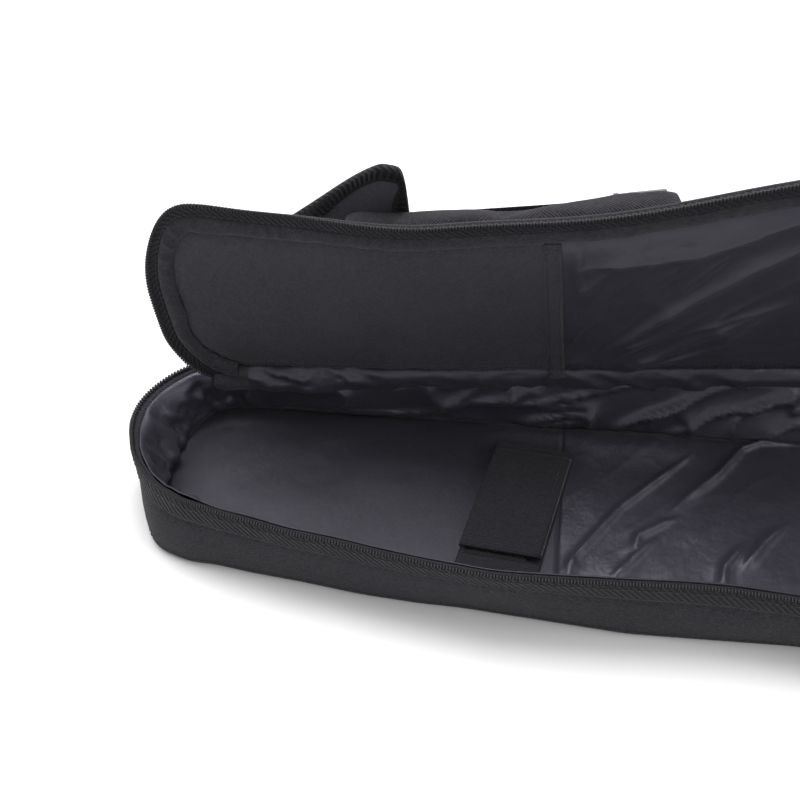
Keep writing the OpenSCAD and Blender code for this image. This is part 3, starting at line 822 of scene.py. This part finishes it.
def spine_pieces():
    """The soft strip that joins the tray's spine wall to the lid."""
    xs = np.linspace(-476, 385, 300)
    crumple = 1 + 1.6 * smooth((-340 - xs) / 60)
    wave = (1.0 * noise(xs / 22, 0.4, 71) + 0.6 * noise(xs / 9, 0.9, 72)) * crumple
    section = [
        (3.4, 47), (4.0, 49.5), (4.4, 52), (4.8, 54.5), (4.9, 57), (4.6, 59.5), (3.8, 62), (3.1, 64),
        (1.2, 65.6), (-1.5, 67), (-6, 67.6), (-9.6, 67.2), (-9.2, 63.8), (-6.2, 60), (-4.0, 56), (-3.2, 51),
        (-2.9, 46), (-1.0, 45), (1.0, 46),
    ]
    columns = []
    for a, z in section:
        fold = 2.4 * creases(xs / 24 + z / 11, z / 16, 73, 2.5) + 1.2 * creases(xs / 10 - z / 8, z / 7, 74, 2)
        fold = fold * (0.5 + 0.5 * crumple) * smooth((68 - z) / 7)
        a = a + (0.6 * wave + fold if a > SPINE_FRONT else wave * 0.3)
        columns.append(plain(xs + LID_IN[0] * a, HINGE_Y + xs * math.tan(SPINE) + LID_IN[1] * a, z))
    strip = grid_piece("spine_strip", [c[::-1] for c in columns], material=SATIN, slot="binding")
    rows = len(section)
    second_material(strip, range(rows), rows, MATTE, after=int(len(xs) * MATTE_FROM))
    second_material(strip, [j for j, (a, _) in enumerate(section) if a <= SPINE_FRONT], rows, SHELL)
    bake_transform(strip)
    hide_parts("spine_binding")


# ---- The neck strap ----

STRAP_X, STRAP_FOLD_Y, STRAP_SKEW, STRAP_SHEAR = -256.0, 39.0, -7.0, 0.07


def sideways(line):
    """The unit normal at each point of an open line."""
    ahead = np.gradient(line, axis=0)
    ahead /= np.linalg.norm(ahead, axis=1)[:, None]
    return np.column_stack([-ahead[:, 1], ahead[:, 0]])


def on_strap(x, y, z):
    """A point of the strap, which lies a little askew across the floor."""
    turn = math.radians(STRAP_SKEW)
    x, y = x + STRAP_SHEAR * y, y + STRAP_SHEAR * x
    return plain(STRAP_X + x * math.cos(turn) - y * math.sin(turn),
                 STRAP_FOLD_Y + x * math.sin(turn) + y * math.cos(turn), z)


def webbing_piece(name, x0, x1, path, thick, material, **made):
    """A flat strap along a path of (y, z) points, with rounded edges."""
    path = np.asarray(path, float)
    side = sideways(path)
    xs = [(x0, 0.35), (x0 + 0.8, 0.9), (x0 + 2.5, 1.0), ((x0 + x1) / 2, 1.0), (x1 - 2.5, 1.0),
          (x1 - 0.8, 0.9), (x1, 0.35)]
    columns = []
    for x, k in xs + [(x, -k) for x, k in xs[::-1]]:
        y, z = (path + side * thick / 2 * k).T
        columns.append(on_strap(x + 0 * y, y, z))
    return grid_piece(name, columns, material=material, **made)


def strap_top(y):
    """The height of the folded strap's upper layer."""
    t = (-np.asarray(y, float) - 3) / 85
    return 22.4 + 1.2 * np.sin(math.pi * np.clip(t, 0, 1)) - 0.8 * t + 0.3 * np.sin(11 * t)


def strap_pieces():
    steps = np.linspace(0, 1, 40)
    lower = [(5 - 109 * t, 15.4 + 0.4 * math.sin(9 * t)) for t in steps]
    webbing_piece("strap_lower_web", -24.5, 27, lower, 2.6, WEB, slot="webbing", body="tray",
                  stands_for="neck_strap_lower")
    pad = [(-30 - 60 * t, 17.2) for t in steps]
    webbing_piece("strap_hook_pad", -23, 17, pad, 1.4, LOOP, slot="hook_pad", body="tray",
                  stands_for="neck_strap_hook_pad")
    upper = [(-3 - 85 * t, strap_top(-3 - 85 * t)) for t in steps]
    webbing_piece("strap_upper_web", -25, 25, upper, 2.6, WEB, slot="webbing", body="strap_flap",
                  stands_for="neck_strap_upper")
    under = [(-1 - 85 * t, 19.3 + 0.7 * math.sin(math.pi * t)) for t in steps]
    webbing_piece("strap_upper_loop", -24, 26, under, 1.6, LOOP, slot="hook_pad", body="strap_flap")
    turn = np.radians(np.linspace(-90, 90, 15))
    fold = [(-4, 15.4)] + [(-1 + 4.6 * math.cos(a), 18.9 + 3.5 * math.sin(a)) for a in turn] + [(-4, 22.4)]
    piece = webbing_piece("strap_fold_web", -25, 24, fold, 2.5, WEB, slot="webbing")
    tuple(v * MM for v in on_strap(0.0, 2.0, 15.4))
    tuple(v * MM for v in on_strap(0.0, -2.0, 22.4))
    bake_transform(piece)
    stitches("strap_stitches", (2.4, 0.6, 0.6), np.arange(-21, 22, 3.4),
             [(y, strap_top(y) + 1.35) for y in (-83.4, -79.0)], on_strap, body="strap_flap", slot="webbing")
    ys = np.arange(-76, -4, 3.4)
    repeated("strap_side_stitches", pill(2.4, 0.6, 0.6, axis=1), plain(20.5, ys, strap_top(ys) + 1.35),
             on_strap, body="strap_flap", material=THREAD, slot="webbing")


# ---- Cloth simulation for the pockets ----


SIM_FRAMES = 20


def puffed(name, points, faces, voxel, pressure, cap, floor_z):
    """Blows a closed shape up as cloth. Returns its points and faces, each point within cap of its start."""
    mesh = bpy.data.meshes.new(name)
    mesh.from_pydata((np.asarray(points) * MM).tolist(), [], faces)
    piece = bpy.data.objects.new(name, mesh)
    bpy.context.collection.objects.link(piece)
    remesh = piece.modifiers.new("even", "REMESH")
    remesh.mode, remesh.voxel_size = "VOXEL", voxel * MM
    graph = bpy.context.evaluated_depsgraph_get()
    even = bpy.data.meshes.new_from_object(piece.evaluated_get(graph))
    piece.modifiers.clear()
    piece.data = even
    start = np.array([v.co for v in even.vertices])
    moved = start
    cloth = piece.modifiers.new("cloth", "CLOTH")
    cloth.settings.quality = 5
    cloth.settings.use_pressure = True
    cloth.settings.uniform_pressure_force = pressure
    cloth.settings.effector_weights.gravity = 0
    cloth.settings.tension_stiffness = 12
    cloth.settings.bending_stiffness = 0.4
    scene = bpy.context.scene
    for number in range(1, SIM_FRAMES + 1):
        scene.frame_set(number)
    graph = bpy.context.evaluated_depsgraph_get()
    blown = piece.evaluated_get(graph).to_mesh()
    moved = np.array([v.co for v in blown.vertices])
    piece.evaluated_get(graph).to_mesh_clear()
    piece.modifiers.clear()
    scene.frame_set(1)
    step = moved - start
    size = np.linalg.norm(step, axis=1)[:, None]
    moved = start + step * np.minimum(1, cap * MM / np.maximum(size, 1e-9))
    result = moved / MM
    result[:, 2] = np.maximum(result[:, 2], floor_z)
    made = [list(p.vertices) for p in even.polygons]
    bpy.data.objects.remove(piece)
    return result, made


def rounded_loop(x0, x1, y0, y1, r, steps=6):
    loop = []
    for cx, cy, start in ((x1 - r, y1 - r, 0), (x0 + r, y1 - r, 90), (x0 + r, y0 + r, 180),
                          (x1 - r, y0 + r, 270)):
        for k in range(steps + 1):
            a = math.radians(start + 90 * k / steps)
            loop.append((cx + r * math.cos(a), cy + r * math.sin(a)))
    return np.array(loop)


def pillow(x0, x1, y0, y1, r, z0, z1, inset, slack):
    """A soft box: rings that pull in towards the top."""
    rings = []
    for t, size in ((0, 0.0), (0.08, 0.0), (0.45, 0.0), (0.8, 0.6), (0.94, 2.6), (1.0, 6.0)):
        d = inset + size * slack
        loop = rounded_loop(x0 + d, x1 - d, y0 + d, y1 - d, max(r - d * 0.4, 4))
        rings.append(np.column_stack([loop, np.full(len(loop), z0 + (z1 - z0) * t)]))
    n = len(rings[0])
    faces = [[k * n + j, k * n + (j + 1) % n, (k + 1) * n + (j + 1) % n, (k + 1) * n + j]
             for k in range(len(rings) - 1) for j in range(n)]
    faces.append(list(range(n))[::-1])
    faces.append([(len(rings) - 1) * n + j for j in range(n)])
    return np.vstack(rings), faces


PIPING_R = 2.0


def pocket_piping(name, box, r):
    """A round piped seam along the pocket's foot."""
    loop = rounded_loop(*box, r)
    loop = resampled(np.vstack([loop, loop[:1]]), 4.0)[:-1]
    ahead = np.roll(loop, -1, 0) - np.roll(loop, 1, 0)
    ahead /= np.linalg.norm(ahead, axis=1)[:, None]
    out = np.column_stack([ahead[:, 1], -ahead[:, 0]])
    columns = []
    for a, b in round_section(PIPING_R, turn=1):
        x, y = (loop + out * a).T
        columns.append(lid_xyz(x, y, POCKET_Z + 1.6 + b))
    grid_piece(name + "_piping", columns, ring=True, body="lid", material=BIND, slot="binding")


def bag_pocket(name, box, r, height, zip_y, zip_x0, zip_x1, cap, slack):
    """A soft pocket on the lid's back over a box of (x0, x1, y0, y1), with its piping and its zip."""
    points, faces = pillow(*box, r, POCKET_Z + 0.2, POCKET_Z + height - 4 * slack, 1.5 + 1.5 * slack, slack)
    points, faces = puffed(name + "_cover_sim", points, faces, 5.0, 4.0, cap, POCKET_Z + 0.2)
    x, y, z = points.T
    up = smooth((z - POCKET_Z) / height)
    z = z + up * (1.6 * rough_noise(x / 45, y / 30, 81) + 2.2 * creases(x / 60 + y / 70, y / 80, 82) - 1.5)
    zone = np.exp(-(((y - zip_y) / 9) ** 2)) * (z > POCKET_Z + height * 0.5)
    z = z * (1 - zone) + (POCKET_Z + height - 0.5) * zone
    z = np.minimum(z, POCKET_Z + height + 2.5)
    piece = place(name + "_cover", lid_xyz(x, y, z), faces, uv=np.column_stack([x, y + z]) * MM, body="lid",
                  material=SHELL, slot="shell_fabric", stands_for=name)
    soft = piece.modifiers.new("soft", "SUBSURF")
    soft.levels = soft.render_levels = 1
    pocket_piping(name, box, r)
    pocket_zip(name + "_mouth", name + "_zip", zip_x0, zip_x1, zip_y, POCKET_Z + height)


def pocket_zip(name, node, x0, x1, y, z):
    """Two tapes and a coil along a pocket's mouth."""
    xs = np.linspace(x0, x1, int((x1 - x0) / 5))
    section = [(-13, 0.4), (-12.6, 1.0), (-7, 1.2), (-2.4, 1.7), (0, 1.9), (2.4, 1.7), (7, 1.2), (12.6, 1.0),
               (13, 0.4), (6, 0.1), (0, 0.1), (-6, 0.1)]
    columns = [lid_xyz(xs, y + dy, z + dz) for dy, dz in section[::-1]]
    grid_piece(name + "_tape", columns, body="lid", material=TAPE,
               slot="zip_tape", stands_for=node)
    zip_coil(name + "_coil", (4.6, 1.2, 1.6), np.arange(x0 + 4, x1 - 4, COIL_PITCH), y, z + 1.9, lid_xyz,
             body="lid")
    stitches(name + "_stitches", (2.3, 0.6, 0.6), np.arange(x0 + 3, x1 - 3, 3.4),
             ((y - 10.4, z + 1.2), (y + 10.4, z + 1.2)), lid_xyz, body="lid", slot="zip_tape")


FLAP_X, FLAP_W, FLAP_ROOT_Y, FLAP_L, FLAP_SKEW, FLAP_Z = -392.0, 62.0, -36.0, 57.0, 14.0, 100.5


def flap_outline(inset):
    """A tab with one long slanting side, a short straight top and a steep second side."""
    wide = FLAP_W + 18
    return np.array([
        (-18 + inset * 1.6, 0), (wide * 0.18, -FLAP_L * 0.54 + inset * 0.9),
        (wide * 0.44, -FLAP_L + inset * 1.1), (wide * 0.54, -FLAP_L - 1 + inset),
        (wide * 0.64, -FLAP_L + inset), (FLAP_W - 5 - inset, -FLAP_L * 0.5), (FLAP_W - inset, 0),
    ])


def at_flap(x, y, z):
    """A point of the flap, turned about its root on the lid's back."""
    turn = math.radians(FLAP_SKEW)
    return lid_xyz(FLAP_X + x * math.cos(turn) - y * math.sin(turn),
                   FLAP_ROOT_Y + x * math.sin(turn) + y * math.cos(turn), z)


def rounded_path(points):
    """A smooth curve near the points of an open outline."""
    points = np.asarray(points, float)
    for _ in range(3):
        a, b = points[:-1], points[1:]
        mixed = np.empty((2 * len(a), 2))
        mixed[0::2], mixed[1::2] = a * 0.75 + b * 0.25, a * 0.25 + b * 0.75
        points = np.vstack([points[:1], mixed, points[-1:]])
    length = np.r_[0, np.cumsum(np.linalg.norm(np.diff(points, axis=0), axis=1))]
    at = np.linspace(0, length[-1], 90)
    return np.column_stack([np.interp(at, length, points[:, k]) for k in (0, 1)])


def flap_pieces():
    edge = rounded_path(flap_outline(0))
    middle = np.column_stack([np.linspace(-14, FLAP_W, len(edge)), np.zeros(len(edge))])
    v = np.linspace(0, 1, 24)
    grid = middle[:, None] + (edge - middle)[:, None] * v[None, :, None] * 0.985
    x, y = grid[..., 0], grid[..., 1]
    curl = 2.2 * noise(x / 30, y / 30, 91) * v + 0.8 * np.sin(v * math.pi)
    top, low = at_flap(x, y, FLAP_Z + 3.2 + curl), at_flap(x, y, FLAP_Z + 0.8 + curl)
    # The flap's cloth is a painted-lighter copy of the matte cloth, as painted light
    flap = slab_piece("pocket_flap_cloth", top, low, body="flap", material=FLAP_PAINTED_LIGHT_CLOTH, slot="matte_lining",
                      stands_for="pocket_flap")
    second_material(flap, range(len(v) - 1), 2 * len(v), SHELL)
    inner = rounded_path(flap_outline(11.0))
    rows = []
    for t, z in ((0.0, -0.6), (-0.06, 1.6), (0.0, 3.9), (0.35, 4.8), (0.7, 4.6), (1.0, 3.6), (1.0, 0.4),
                 (0.6, -0.9)):
        x, y = (edge + (inner - edge) * t).T
        rows.append(at_flap(x, y, FLAP_Z + z + 2.2 * noise(x / 30, y / 30, 91) * (1 - 0.25 * t)))
    grid_piece("pocket_flap_edge", rows, body="flap", material=TAPE, slot="binding",
               stands_for="pocket_flap_binding")


# ---- The handle ----

HANDLE_X, HANDLE_Z, GRIP_L, GRIP_REACH, GRIP_R = 130.0, 24.0, 110.0, 38.0, 15.0
NEAR_ANGLE = math.atan((86.0 - 190.0) / (TAIL_X - WAIST_X))
WEB_W = 25.0
LEG_X = GRIP_L / 2 + WEB_W / 2 + 2


def at_handle(x, y, z):
    """A point of the handle, whose own X runs along the near side and whose -Y points away from the bag."""
    root = -86.0 + (HANDLE_X - WAIST_X) * math.tan(NEAR_ANGLE)
    c, s = math.cos(NEAR_ANGLE), math.sin(NEAR_ANGLE)
    return plain(HANDLE_X + x * c - y * s, root + x * s + y * c, HANDLE_Z + z)


def grip_piece():
    """The padded wrap, with a sewn channel along its outer side."""
    xs = np.r_[-GRIP_L / 2, np.linspace(-GRIP_L / 2 + 1, GRIP_L / 2 - 1, 46), GRIP_L / 2]
    end = np.clip(np.minimum(xs + GRIP_L / 2, GRIP_L / 2 - xs) / 6, 0, 1)
    columns = []
    for a in np.linspace(0, 2 * math.pi, 28, endpoint=False):
        r = GRIP_R * (0.62 + 0.38 * np.sqrt(end)) - 0.5 + 0.5 * noise(xs / 12, a * 2, 95)
        r = r - 2.0 * math.exp(-(((a - math.pi) / 0.13) ** 2))
        columns.append(at_handle(xs, -GRIP_REACH + r * math.cos(a), r * math.sin(a)))
    grip = grid_piece("handle_wrap", columns, body="handle", material=MATTE, slot="grip_fabric",
                      stands_for="handle_grip")
    y = -GRIP_REACH - GRIP_R + 0.6
    stitches("handle_stitches", (2.5, 0.7, 0.7), np.arange(-GRIP_L / 2 + 5, GRIP_L / 2 - 5, 3.6),
             ((y, -3.2), (y, 3.2)), at_handle, body="handle", slot="grip_fabric")


def handle_web():
    """The webbing of the handle, from one patch through the grip to the other."""
    path = [(-LEG_X, -2.9), (-LEG_X, -8), (-LEG_X, -16), (-LEG_X + 2, -27), (-LEG_X + 9, -35),
            (-LEG_X + 18, -38), (0, -38)]
    line = rounded_path(path + [(-x, y) for x, y in path[:-1][::-1]])
    side = sideways(line)
    half = [(-1, -0.6), (-0.94, -1.25), (0, -1.25), (0.94, -1.25), (1, -0.6)]
    columns = []
    for w, z in half + [(-w, -z) for w, z in half]:
        x, y = (line + side * WEB_W / 2 * w).T
        columns.append(at_handle(x, y, z))
    grid_piece("handle_strap", [c[::-1] for c in columns], body="handle",
               material=WEB, slot="webbing", stands_for="handle_webbing")


def handle_pieces():
    grip_piece()
    handle_web()
    spots = []
    for sign, side in ((-1, "left"), (1, "right")):
        gx, gz = np.meshgrid(np.linspace(-18, 18, 14) + sign * LEG_X, np.linspace(-14, 14, 12), indexing="ij")
        edge = np.minimum(np.minimum(gx - gx.min(), gx.max() - gx), np.minimum(gz + 14, 14 - gz))
        out = -0.5 - 1.9 * smooth(edge / 2.5)
        slab_piece("handle_patch_" + side, at_handle(gx, out, gz), at_handle(gx, 0.6, gz), body="tray",
                   material=PATCH, slot="patch_fabric", stands_for="handle_patches" if sign < 0 else None)
        t = np.arange(-11, 11.1, 3.4)
        for u, v in [(t * 1.3, 0 * t - 11), (t * 1.3, 0 * t + 11), (t, t), (t, -t)]:
            spots.append(plain(u + sign * LEG_X, -2.5, v))
    repeated("handle_patch_stitches", pill(2.4, 0.6, 0.6), np.vstack(spots), at_handle, body="tray",
             material=THREAD, slot="patch_fabric")


# ---- CAD pieces that stay, with a finer finish ----


def finish_metal():
    for name in ("neck_pocket_slider", "neck_pocket_pull", "body_pocket_slider", "body_pocket_pull",
                 "main_slider_front", "main_slider_rear", "main_pull_front", "main_pull_rear"):
        for place_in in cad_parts[name].material_slots:
            place_in.material = METAL


# ---- Camera, floor and light ----


# In metres: half the floor's side, and how far it lies under the bag so that the two never flicker
FLOOR_HALF, FLOOR_DROP = 40.0, 0.0006
WORLD_LIGHT = 0.47


def stage():
    """A pale floor, a plain world and soft lights: name, place, aim, size in metres and watts."""
    floor = bpy.data.meshes.new("floor")
    corners = ((-1, -1), (1, -1), (1, 1), (-1, 1))
    floor.from_pydata([(x * FLOOR_HALF, y * FLOOR_HALF, 0) for x, y in corners], [], [(0, 1, 2, 3)])
    ground = bpy.data.objects.new("floor", floor)
    ground.location.z = -FLOOR_DROP
    bpy.context.collection.objects.link(ground)
    graph = Graph("floor_white")
    graph.settings(Base_Color=(0.9, 0.9, 0.9, 1), Roughness=0.9)
    floor.materials.append(graph.material)
    world = bpy.data.worlds.new("studio")
    bpy.context.scene.world = world
    world.use_nodes = True
    background = world.node_tree.nodes["Background"]
    background.inputs[0].default_value = (1, 1, 1, 1)
    background.inputs[1].default_value = WORLD_LIGHT
    for name, where, aim, size, power in (
        ("key", (-0.52, 0.54, 2.05), (-0.25, 0.0, 0.05), 0.8, 24),
        ("top", (-0.35, 0.02, 1.9), (-0.25, 0.0, 0.0), 0.5, 4),
        ("left", (-1.6, 0.5, 1.4), (-0.3, 0.0, 0.05), 0.9, 12),
        ("rear", (0.3, 1.7, 1.4), (-0.2, 0.05, 0.1), 1.0, 24),
        ("tail", (1.2, -0.3, 1.3), (-0.4, 0.0, 0.05), 0.7, 7),
        ("near", (-0.3, -1.5, 0.9), (-0.25, 0.0, 0.05), 1.0, 2.6),
    ):
        data = bpy.data.lights.new(name, "AREA")
        data.size, data.energy = size, power
        lamp = bpy.data.objects.new(name, data)
        lamp.location = where
        lamp.rotation_euler = (Vector(aim) - Vector(where)).to_track_quat("-Z", "Y").to_euler()
        bpy.context.collection.objects.link(lamp)
    bpy.context.scene.view_settings.view_transform = "Standard"


def camera():
    data = bpy.data.cameras.new("camera")
    data.sensor_width, data.lens = 36.0, 42.75
    data.clip_start = 0.01
    eye = bpy.data.objects.new("camera", data)
    target, distance = Vector((-0.352, 0.0656, 0.030)), 0.669
    down, yaw = math.radians(45), math.radians(8.8)
    ahead = Vector((-math.sin(yaw) * math.cos(down), math.cos(yaw) * math.cos(down), -math.sin(down)))
    eye.location = target - ahead * distance
    eye.rotation_euler = ahead.to_track_quat("-Z", "Y").to_euler()
    bpy.context.collection.objects.link(eye)
    bpy.context.scene.camera = eye


camera()
stage()
tray_pieces()
floor_pieces()
lid_pieces()
spine_pieces()
strap_pieces()
bag_pocket("neck_pocket", (-375, -165, -58, 44), 12, 32.0, -32, -308, -187, cap=6, slack=0.45)
bag_pocket("body_pocket", (-20, 420, -95, 100), 40, 26.0, -51, 2, 398, cap=7, slack=1.0)
flap_pieces()
handle_pieces()
finish_metal()
